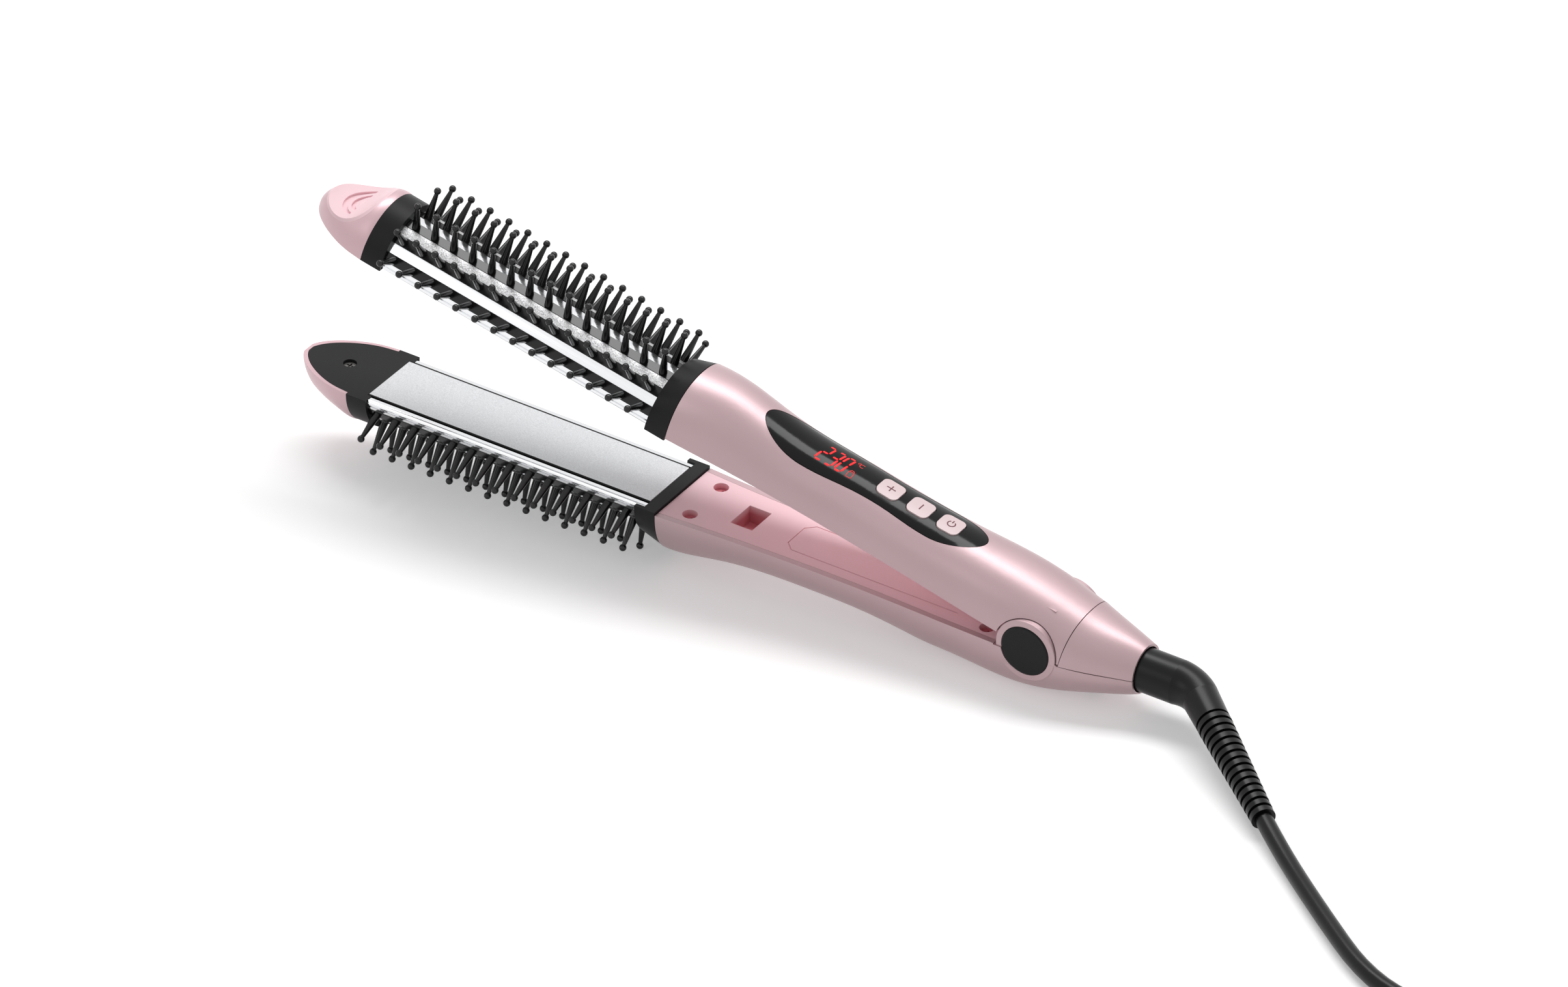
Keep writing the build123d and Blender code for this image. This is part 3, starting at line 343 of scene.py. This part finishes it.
@dataclass(frozen=True)
class BarrelMetal(Finish):
    """Polished aluminium, with two blasted bands between the comb rows."""

    centre: float = -0.98 * MM
    band_from: float = radians(12.9)
    band_to: float = radians(38.8)
    band_rough: tuple[float, float] = (0.3, 0.5)
    band_dark: Color = (0.3, 0.3, 0.305)
    band_light: Color = (0.72, 0.72, 0.73)
    grain: float = 2600.0
    grain_relief: float = 0.00003
    streaks: tuple[float, float, float] = (6.0, 2200.0, 2200.0)

    def dress(self, sheet: NodeSheet, place: Matrix | None) -> None:
        """Roughens the bands, and draws the faint lines of extrusion along the rest."""
        vector, _, y, z = sheet.arm_coordinates(place)
        rise = sheet.math("SUBTRACT", z, self.centre)
        angle = sheet.math("ABSOLUTE", sheet.math("ARCTAN2", y, rise))
        above = sheet.math("GREATER_THAN", angle, self.band_from)
        below = sheet.math("LESS_THAN", angle, self.band_to)
        band = sheet.math("MULTIPLY", above, below)
        grain = sheet.noise(vector, self.grain, 4.0)
        stretch = sheet.node("ShaderNodeMapping")
        stretch.inputs["Scale"].default_value = self.streaks
        sheet.join(vector, stretch.inputs["Vector"])
        drawn = sheet.noise(stretch.outputs["Vector"], 1.0, 3.0)
        rough = sheet.remap(grain, *NOISE_RANGE, *self.band_rough)
        smooth = sheet.remap(drawn, *NOISE_RANGE, self.roughness * 0.7, self.roughness * 1.4)
        mixed = sheet.node("ShaderNodeMix", data_type="FLOAT")
        for index, given in ((0, band), (2, smooth), (3, rough)):
            sheet.feed(mixed.inputs[index], given)
        sheet.join(mixed.outputs[0], sheet.shader.inputs["Roughness"])
        speckle = sheet.blend(sheet.remap(grain, *NOISE_CORE), self.band_dark, self.band_light)
        sheet.join(sheet.blend(band, self.color, speckle), sheet.shader.inputs["Base Color"])
        sheet.bump(sheet.math("MULTIPLY", grain, band), self.grain_relief)


@dataclass(frozen=True)
class PlateCoating(Finish):
    """The plate's ceramic coating: pale grey with a fine even grain, and a black band of painted shade on
    its long edges.
    """

    rim: float = 11.8 * MM
    rim_edge: float = 0.05 * MM
    gap_shade_color: Color = (0.004, 0.004, 0.004)
    grain: float = 2600.0
    grain_shade: float = 0.8
    grain_relief: float = 0.00001
    gloss_spread: float = 0.06

    def dress(self, sheet: NodeSheet, place: Matrix | None) -> None:
        """Adds the speckled grain and the black band of painted gap shade along the long edges."""
        where = sheet.coordinates()
        grain = sheet.noise(where, self.grain, 5.0)
        deep = tuple(value * self.grain_shade for value in self.color)
        coated = sheet.blend(sheet.remap(grain, *NOISE_CORE), deep, self.color)
        # painted shade: the long edges turn black, standing in for the shadow in the gap beside the plate
        across = sheet.math("ABSOLUTE", sheet.parts(where)[1])
        rim = sheet.remap(across, self.rim, self.rim + self.rim_edge)
        sheet.join(sheet.blend(rim, coated, self.gap_shade_color), sheet.shader.inputs["Base Color"])
        low, high = self.roughness - self.gloss_spread, self.roughness + self.gloss_spread
        sheet.join(sheet.remap(grain, *NOISE_RANGE, low, high), sheet.shader.inputs["Roughness"])
        sheet.bump(grain, self.grain_relief)


PEARL = PearlPaint("pearl_pink_paint", srgb(196, 168, 172), 0.4, metallic=0.45, coat=0.2,
                   coat_roughness=0.3, shade=srgb(182, 153, 157))
NOSE_PAINT = TipPaint("nose_paint", srgb(214, 180, 186), 0.4, metallic=0.45, coat=0.2, coat_roughness=0.3,
                      shade=srgb(200, 167, 173), plain=srgb(247, 212, 218))
# the inner covers' pink, with painted shade deepening to rose in the pocket and screw cups
PLAIN_PINK = CoverPlasticWithRecessShade("plain_pink_plastic", srgb(253, 216, 222), 0.42, relief=0.000006, tone=0.03)
# painted shade: the cover screws are coloured the dark rose of the shaded inside of their holes
SCREW_SHADED_ROSE = Moulded("screw_rose_painted_shade", srgb(218, 126, 138), 0.5, tone=0.15)
CHARCOAL = Moulded("charcoal_plastic", srgb(31, 31, 32), 0.42, specular=0.14)
BARREL = BarrelMetal("barrel_aluminium", srgb(235, 236, 238), 0.12, metallic=1.0)
PLATE = PlateCoating("plate_coating", srgb(212, 213, 215), 0.42, metallic=0.7)
PEG_BLACK = Moulded("peg_black_plastic", srgb(14, 14, 15), 0.16, relief=0.000004, specular=0.4)
LENS_BLACK = Moulded("lens_black_gloss", srgb(4, 4, 5), 0.12, relief=0.0, tone=0.0, specular=0.22)
BUTTON_PINK = Moulded("button_pale_pink", srgb(240, 216, 218), 0.38, relief=0.000004, tone=0.02)
TRAY_BLACK = Moulded("inner_black_plastic", srgb(20, 20, 20), 0.5)
SCREW_STEEL = Moulded("screw_steel", srgb(120, 118, 116), 0.32, metallic=1.0, tone=0.2)
RUBBER = Moulded("satin_rubber", srgb(8, 8, 9), 0.3, relief=0.00001, specular=0.22)
HEATER_WHITE = Moulded("heater_ceramic", srgb(235, 232, 222), 0.6)
CARRIER_GREY = Moulded("carrier_plastic", srgb(96, 90, 84), 0.55)
BOARD_GREEN = Moulded("board_lacquer", srgb(20, 84, 44), 0.3)
PIN_METAL = Moulded("plug_pin_nickel", srgb(214, 210, 200), 0.2, metallic=1.0)
DISPLAY_RED = Finish("display_red", srgb(255, 20, 24), 0.5, glow=1.0)
DISPLAY_FAINT = Finish("display_faint_red", srgb(196, 34, 34), 0.5, glow=0.7)
ICON_ROSE = Moulded("icon_rose", srgb(120, 70, 76), 0.5, relief=0.0)


def dress_node(node: str, finish: Finish, place: Matrix | None = None) -> None:
    """Gives a CAD node its material.

    Args:
        node: the node's name.
        finish: the finish that it takes.
        place: the frame that a directed pattern is drawn in.
    """
    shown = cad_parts[node]
    shown.data.materials.clear()
    shown.data.materials.append(finish.build(place))
    shown.data.polygons.foreach_set("use_smooth", [True] * len(shown.data.polygons))
    log.info("dressed %s with %s", node, finish.name)


def finish_piece(bm: bmesh.types.BMesh, name: str, finish: Finish, body: str,
                 place: Matrix) -> None:
    """Turns a bmesh into a piece that rides on a body.

    Args:
        bm: the shape, in the frame of place.
        name: the piece's name.
        finish: its finish.
        body: the CAD body that it rides on.
        place: takes the shape to the frame at rest.
    """
    bmesh.ops.transform(bm, matrix=place, verts=bm.verts)
    bmesh.ops.recalc_face_normals(bm, faces=bm.faces)
    mesh = bpy.data.meshes.new(name)
    bm.to_mesh(mesh)
    bm.free()
    mesh.polygons.foreach_set("use_smooth", [True] * len(mesh.polygons))
    mesh.materials.append(finish.build())
    piece = bpy.data.objects.new(name, mesh)
    bpy.context.scene.collection.objects.link(piece)
    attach(piece, body)
    log.info("made %s", name)


@dataclass
class ArmDress:
    """The finishes of one arm's CAD nodes."""

    arm: Arm
    rows: int = 6

    def dress(self) -> None:
        """Dresses every node of the arm."""
        word, place = self.arm.word, self.arm.place()
        dress_node(f"{word}_tip_cap", NOSE_PAINT, place)
        dress_node(f"{word}_barrel", BARREL, place)
        dress_node(f"{word}_inner_cover", PLAIN_PINK, place)
        plain = {"nose_insert": CHARCOAL, "nose_screw": SCREW_STEEL, "plate": PLATE,
                 "rear_collar": CHARCOAL, "heater": HEATER_WHITE, "heater_carrier": CARRIER_GREY,
                 "cover_screws": SCREW_SHADED_ROSE, "handle_shell": PEARL}
        for number in range(1, self.rows + 1):
            plain[f"comb_{number}"] = PEG_BLACK
        for part, finish in plain.items():
            dress_node(f"{word}_{part}", finish)


@dataclass
class HandleDress:
    """The finishes of the hinge, the tail and the controls."""

    finishes: dict[str, Finish] = field(default_factory=lambda: {
        "tail_cover": PEARL, "hinge_pin": SCREW_STEEL, "hinge_caps": CHARCOAL, "hinge_spring": SCREW_STEEL,
        "swivel_ring": TRAY_BLACK, "tail_screw": SCREW_STEEL, "control_lens": LENS_BLACK,
        "control_frame": TRAY_BLACK, "control_board": BOARD_GREEN, "display_module": TRAY_BLACK,
        "tact_switches": TRAY_BLACK, "plus_button": BUTTON_PINK, "minus_button": BUTTON_PINK,
        "power_button": BUTTON_PINK, "strain_relief_boot": RUBBER, "coil_tie": RUBBER, "plug": RUBBER,
        "plug_pins": PIN_METAL})

    def dress(self) -> None:
        """Dresses every node in turn."""
        for node, finish in self.finishes.items():
            dress_node(node, finish)


class Crown:
    """The upper side of some CAD nodes, which flat marks are laid on."""

    above = 50 * MM

    def __init__(self, nodes: list[str], place: Matrix) -> None:
        """Reads the nodes' meshes in the arm's own frame."""
        self.trees = []
        back = place.inverted()
        for node in nodes:
            bm = bmesh.new()
            bm.from_mesh(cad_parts[node].data)
            bmesh.ops.transform(bm, matrix=back, verts=bm.verts)
            self.trees.append(BVHTree.FromBMesh(bm))
            bm.free()

    def height(self, x: float, y: float) -> float:
        """How high the surface is above the closing plane at a place."""
        down = Vector((0, 0, -1))
        hits = [tree.ray_cast(Vector((x, y, self.above)), down)[0] for tree in self.trees]
        return max((hit.z for hit in hits if hit is not None), default=0.0)

    def lay(self, bm: bmesh.types.BMesh, lift: float, thickness: float) -> None:
        """Lays a flat shape on the surface and gives it a thickness.

        Args:
            bm: a flat shape, seen from above.
            lift: how far its underside is above the surface.
            thickness: its thickness.
        """
        for vert in bm.verts:
            vert.co.z = self.height(vert.co.x, vert.co.y) + lift
        top = bmesh.ops.extrude_face_region(bm, geom=bm.faces[:])["geom"]
        raised = [item for item in top if isinstance(item, bmesh.types.BMVert)]
        bmesh.ops.translate(bm, vec=(0, 0, thickness), verts=raised)


def add_bar(bm: bmesh.types.BMesh, start: Vector, end: Vector, width: float,
            point: float = 0.0) -> None:
    """Adds a flat bar, pointed at its ends if point is given.

    Args:
        bm: the shape that it joins.
        start: the middle of one end.
        end: the middle of the other end.
        width: the bar's width.
        point: how long each pointed end is.
    """
    along = end - start
    turn = along.to_track_quat("X", "Z").to_matrix().to_4x4()
    stretch = Matrix.Diagonal((along.length / 2, width / 2, 1, 1))
    grid = bmesh.ops.create_grid(bm, x_segments=4, y_segments=2, size=1)["verts"]
    bmesh.ops.transform(bm, matrix=Matrix.Translation((start + end) / 2) @ turn @ stretch, verts=grid)
    if point:
        corners = [vert for vert in grid if len(vert.link_faces) == 1]
        for vert in corners:
            near_start = (vert.co - start).length < along.length / 2
            vert.co += along.normalized() * (point if near_start else -point)


def add_arc(bm: bmesh.types.BMesh, centre: Vector, radius: float, width: float, start: float,
            sweep: float, steps: int = 14) -> None:
    """Adds a flat arc.

    Args:
        bm: the shape that it joins.
        centre: the arc's centre.
        radius: the radius of its middle line.
        width: its width.
        start: the angle that it starts at, from +X.
        sweep: the angle that it runs through.
        steps: how many faces it has.
    """
    ray = Vector((cos(start), sin(start), 0))
    ends = [bm.verts.new(centre + ray * (radius + half)) for half in (-width / 2, width / 2)]
    edge = bm.edges.new(ends)
    bmesh.ops.spin(bm, geom=[*ends, edge], cent=centre, axis=(0, 0, 1), angle=sweep, steps=steps,
                   use_merge=sweep >= 2 * pi)


@dataclass
class Display:
    """The lit digits, the degree sign and the padlock under the lens."""

    reading: str = "230"
    first_x: float = -92.3
    middle_y: float = -0.8
    pitch: float = 3.89
    height: float = 8.0
    width: float = 2.55
    slant: float = 0.16
    stroke: float = 0.66
    gap: float = 0.32
    tip: float = 0.297
    lift: float = 0.02
    thickness: float = 0.03
    degree_at: tuple[float, float] = (-81.1, 3.0)
    degree_radius: float = 0.45
    degree_line: float = 0.2
    letter_at: tuple[float, float] = (-79.7, 2.4)
    letter_radius: float = 0.95
    letter_line: float = 0.26
    lock_corners: tuple[float, float, float, float] = (-81.7, -5.0, -79.7, -2.6)
    lock_line: float = 0.24
    shackle_radius: float = 0.8
    segments: dict[str, str] = field(default_factory=lambda: {"2": "abged", "3": "abgcd", "0": "abcdef"})

    def point(self, digit: int, across: float, up: float) -> Vector:
        """A place on a digit, with across and up from -1 to 1."""
        rise = up * self.height / 2
        x = self.first_x + digit * self.pitch + across * self.width / 2 + rise * self.slant
        return Vector((x, self.middle_y + rise, 0)) * MM

    def strokes(self, digit: int, letters: str, bm: bmesh.types.BMesh) -> None:
        """Adds the lit segments of one digit."""
        ends = {"a": ((-1, 1), (1, 1)), "b": ((1, 1), (1, 0)), "c": ((1, 0), (1, -1)),
                "d": ((-1, -1), (1, -1)), "e": ((-1, 0), (-1, -1)), "f": ((-1, 1), (-1, 0)),
                "g": ((-1, 0), (1, 0))}
        for letter in letters:
            first, last = (self.point(digit, *end) for end in ends[letter])
            inset = (last - first).normalized() * self.gap * MM
            add_bar(bm, first + inset, last - inset, self.stroke * MM, self.tip * MM)

    def draw_unit(self, bm: bmesh.types.BMesh) -> None:
        """Adds the degree sign and its letter."""
        degree, letter = Vector((*self.degree_at, 0)) * MM, Vector((*self.letter_at, 0)) * MM
        add_arc(bm, degree, self.degree_radius * MM, self.degree_line * MM, 0, 2 * pi)
        add_arc(bm, letter, self.letter_radius * MM, self.letter_line * MM, radians(50), radians(260))

    def draw_lock(self, bm: bmesh.types.BMesh) -> None:
        """Adds the padlock's body and its shackle."""
        left, bottom, right, top = self.lock_corners
        for start, end in (((left, bottom), (right, bottom)), ((left, top), (right, top)),
                           ((left, bottom), (left, top)), ((right, bottom), (right, top))):
            add_bar(bm, Vector((*start, 0)) * MM, Vector((*end, 0)) * MM, self.lock_line * MM)
        middle = Vector(((left + right) / 2, top, 0)) * MM
        add_arc(bm, middle, self.shackle_radius * MM, self.lock_line * MM, 0, pi)

    def make(self, crown: Crown) -> None:
        """Lays the digits and the small signs on the lens."""
        body, place = Arm.UPPER.body, Arm.UPPER.place()
        digits = bmesh.new()
        for number, figure in enumerate(self.reading):
            self.strokes(number, self.segments[figure], digits)
        crown.lay(digits, self.lift * MM, self.thickness * MM)
        finish_piece(digits, "display_digits", DISPLAY_RED, body, place)
        signs = bmesh.new()
        self.draw_unit(signs)
        self.draw_lock(signs)
        crown.lay(signs, self.lift * MM, self.thickness * MM)
        finish_piece(signs, "display_signs", DISPLAY_FAINT, body, place)


@dataclass
class ButtonIcons:
    """The plus, the minus and the power sign, laid as thin rose lines on the buttons."""

    plus_x: float = -66.8
    minus_x: float = -54.9
    power_x: float = -43.1
    width: float = 0.42
    plus_reach: float = 1.7
    minus_reach: float = 1.5
    ring_radius: float = 1.35
    ring_start: float = radians(125)
    ring_sweep: float = radians(290)
    bar_from: float = 0.5
    bar_to: float = 1.9
    lift: float = 0.01
    thickness: float = 0.03

    def make(self) -> None:
        """Lays each icon on its own button."""
        place = Arm.UPPER.place()
        for node, body, x, draw in (("plus_button", "plus_key", self.plus_x, self.plus),
                                    ("minus_button", "minus_key", self.minus_x, self.minus),
                                    ("power_button", "power_key", self.power_x, self.power)):
            bm = bmesh.new()
            draw(bm, Vector((x, 0, 0)) * MM)
            Crown([node], place).lay(bm, self.lift * MM, self.thickness * MM)
            finish_piece(bm, f"{node}_icon", ICON_ROSE, body, place)

    def plus(self, bm: bmesh.types.BMesh, centre: Vector) -> None:
        """Two crossed bars."""
        self.minus(bm, centre)
        reach, inner = Vector((self.plus_reach, 0, 0)) * MM, Vector((self.width / 2, 0, 0)) * MM
        add_bar(bm, centre + inner, centre + reach, self.width * MM)
        add_bar(bm, centre - reach, centre - inner, self.width * MM)

    def minus(self, bm: bmesh.types.BMesh, centre: Vector) -> None:
        """One bar across the handle."""
        reach = Vector((0, self.minus_reach, 0)) * MM
        add_bar(bm, centre - reach, centre + reach, self.width * MM)

    def power(self, bm: bmesh.types.BMesh, centre: Vector) -> None:
        """An open ring with a bar in its gap."""
        add_arc(bm, centre, self.ring_radius * MM, self.width * MM, self.ring_start, self.ring_sweep)
        low, high = (centre + Vector((0, rise, 0)) * MM for rise in (self.bar_from, self.bar_to))
        add_bar(bm, low, high, self.width * MM)


@dataclass
class MainsCord:
    """The round mains cord, from the strain relief over the table to its coil and its plug."""

    radius: float = 3.0
    route: list[tuple[float, float, float]] = field(default_factory=lambda: [
        (232.0, -40.6, 5.4), (244.6, -51.0, 3.05), (270.9, -72.4, 3.05), (301.0, -95.6, 3.05),
        (326.2, -101.9, 3.05), (351.8, -97.4, 3.9), (370.7, -86.1, 3.9)])
    tail: list[tuple[float, float, float]] = field(default_factory=lambda: [
        (420.4, -168.8, 10.4), (410.1, -175.0, 10.4), (386.1, -175.8, 8.9), (359.1, -168.6, 6.6),
        (343.3, -165.8, 6.6)])
    coil_centre: tuple[float, float] = (399.875, -121.047)
    coil_turn: float = radians(121.0)
    outer: float = 45.0
    pitch: float = 6.5
    half_turns: int = 7
    low: float = 3.9
    steps: int = 6

    def coil_points(self) -> list[Vector]:
        """The control points of the coil: half turns in, a climb of one layer, and half turns out."""
        sizes = [self.outer - self.pitch / 2 * turn for turn in range(self.half_turns + 1)]
        sizes += sizes[-2::-1]
        climb = self.half_turns
        points = []
        crossing = self.outer
        for number, size in enumerate(sizes):
            way = -1 if number % 2 == 0 else 1
            middle = crossing + way * size
            for step in range(self.steps):
                angle = pi * (step + 0.5) / self.steps
                share = (1 - cos(angle)) / 2 if number == climb else float(number > climb)
                spread = size / cos(pi / 2 / self.steps)
                points.append(Vector((middle - way * spread * cos(angle), way * spread * sin(angle),
                                      self.low + self.pitch * share)))
            crossing += 2 * way * size
        return points

    def make(self) -> None:
        turn = Matrix.Translation(Vector((*self.coil_centre, 0))) @ Matrix.Rotation(self.coil_turn, 4, "Z")
        points = [Vector(point) for point in self.route]
        points += [turn @ point for point in self.coil_points()]
        points += [Vector(point) for point in self.tail]
        curve = bpy.data.curves.new("mains_cord", "CURVE")
        curve.dimensions = "3D"
        curve.bevel_depth = self.radius * MM
        curve.bevel_resolution = 6
        curve.resolution_u = 5
        curve.use_fill_caps = True
        spline = curve.splines.new("NURBS")
        spline.points.add(len(points) - 1)
        for knot, point in zip(spline.points, points):
            knot.co = (*(point * MM), 1.0)
        spline.order_u = 3
        spline.use_endpoint_u = True
        curve.materials.append(RUBBER.build())
        cord = bpy.data.objects.new("mains_cord", curve)
        bpy.context.scene.collection.objects.link(cord)
        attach(cord, "swivel_cord")
        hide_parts("cord", "cord_coil", "cord_tail")
        log.info("laid the cord through %d points", len(points))


@dataclass
class Studio:
    """The camera of the photograph, the floor and the soft lights."""

    azimuth: float = radians(32.98563)
    elevation: float = radians(32.83926)
    roll: float = radians(-0.8332)
    distance: float = 3.33932
    aside: tuple[float, float] = (0.08625611, -0.04372435)
    focal_pixels: float = 15804.15
    frame_pixels: int = 2408
    sensor_width: float = 36.0
    world_level: float = 0.34
    floor_half_width: float = 12.0
    floor_grey: float = 0.93
    glow_radii: tuple[float, float] = (0.4, 1.6)
    glow_levels: tuple[float, float] = (0.3, 0.7)

    def camera(self) -> None:
        """Stands the camera where the photograph was taken from."""
        turn = (Matrix.Rotation(self.azimuth, 4, "Z") @ Matrix.Rotation(pi / 2 - self.elevation, 4, "X")
                @ Matrix.Rotation(self.roll, 4, "Z"))
        offset = turn @ Vector((-self.aside[0], -self.aside[1], self.distance))
        lens = bpy.data.cameras.new("photo_camera")
        lens.sensor_width = self.sensor_width
        lens.lens = lens.sensor_width * self.focal_pixels / self.frame_pixels
        lens.clip_start, lens.clip_end = 0.1, 60.0
        camera = bpy.data.objects.new("photo_camera", lens)
        camera.matrix_world = Matrix.Translation(HINGE + offset) @ turn
        bpy.context.scene.collection.objects.link(camera)
        bpy.context.scene.camera = camera

    def floor(self) -> None:
        """Lays a wide white floor that keeps soft shadows."""
        bm = bmesh.new()
        bmesh.ops.create_grid(bm, x_segments=4, y_segments=4, size=self.floor_half_width)
        mesh = bpy.data.meshes.new("studio_floor")
        bm.to_mesh(mesh)
        bm.free()
        sheet = NodeSheet("white_floor")
        sheet.shader.inputs["Base Color"].default_value = (*[self.floor_grey] * 3, 1.0)
        sheet.shader.inputs["Roughness"].default_value = 0.9
        sheet.shader.inputs["Specular IOR Level"].default_value = 0.1
        seen = sheet.node("ShaderNodeLightPath")
        glow = sheet.math("ADD", seen.outputs["Is Camera Ray"], seen.outputs["Is Glossy Ray"])
        glow = sheet.math("MINIMUM", sheet.math("ADD", glow, seen.outputs["Is Transmission Ray"]), 1.0)
        sheet.shader.inputs["Emission Color"].default_value = (1.0, 1.0, 1.0, 1.0)
        reach = sheet.node("ShaderNodeVectorMath", operation="LENGTH")
        sheet.join(sheet.coordinates(), reach.inputs[0])
        level = sheet.remap(reach.outputs["Value"], *self.glow_radii, *self.glow_levels)
        sheet.join(sheet.math("MULTIPLY", glow, level), sheet.shader.inputs["Emission Strength"])
        mesh.materials.append(sheet.material)
        floor = bpy.data.objects.new("studio_floor", mesh)
        bpy.context.scene.collection.objects.link(floor)

    def world(self) -> None:
        """Lights everything evenly from the sky, which is white where it is seen or mirrored."""
        world = bpy.data.worlds.new("studio_world")
        world.use_nodes = True
        nodes, links = world.node_tree.nodes, world.node_tree.links
        background = nodes["Background"]
        background.inputs["Color"].default_value = (1.0, 1.0, 1.0, 1.0)
        path = nodes.new("ShaderNodeLightPath")
        seen = path.outputs["Is Camera Ray"]
        for ray in ("Is Glossy Ray", "Is Transmission Ray"):
            either = nodes.new("ShaderNodeMath")
            either.operation = "MAXIMUM"
            links.new(seen, either.inputs[0])
            links.new(path.outputs[ray], either.inputs[1])
            seen = either.outputs[0]
        level = nodes.new("ShaderNodeMapRange")
        level.inputs["To Min"].default_value = self.world_level
        level.inputs["To Max"].default_value = 1.0
        links.new(seen, level.inputs["Value"])
        links.new(level.outputs["Result"], background.inputs["Strength"])
        bpy.context.scene.world = world

    def lamp(self, name: str, direction: tuple[float, float, float], reach: float,
             size: tuple[float, float], power: float) -> None:
        """Hangs one soft box that faces the object.

        Args:
            name: the lamp's name.
            direction: where it hangs, seen from the object.
            reach: how far away it is.
            size: its width and height.
            power: its power in watts.
        """
        light = bpy.data.lights.new(name, "AREA")
        light.shape = "RECTANGLE"
        light.size, light.size_y = size
        light.energy = power
        lamp = bpy.data.objects.new(name, light)
        way = Vector(direction).normalized()
        lamp.location = way * reach
        lamp.rotation_mode = "QUATERNION"
        lamp.rotation_quaternion = way.to_track_quat("Z", "Y")
        bpy.context.scene.collection.objects.link(lamp)

    def set_up(self) -> None:
        """Makes the whole studio."""
        self.camera()
        self.floor()
        self.world()
        self.lamp("key_softbox", direction=(-0.1, 0.35, 0.9), reach=1.5, size=(1.6, 0.5), power=16.0)
        self.lamp("front_softbox", direction=(-0.5, -0.8, 0.6), reach=2.0, size=(0.8, 0.8), power=2.0)
        bpy.context.scene.view_settings.view_transform = "Standard"


def main() -> None:
    """Builds the studio and every piece in order."""
    logging.basicConfig(level=logging.INFO, format="%(message)s")
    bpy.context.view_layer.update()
    Studio().set_up()
    MainsCord().make()
    for arm in Arm:
        ArmDress(arm).dress()
    HandleDress().dress()
    crown = Crown(["control_lens"], Arm.UPPER.place())
    Display().make(crown)
    ButtonIcons().make()


if __name__ == "__main__":
    main()
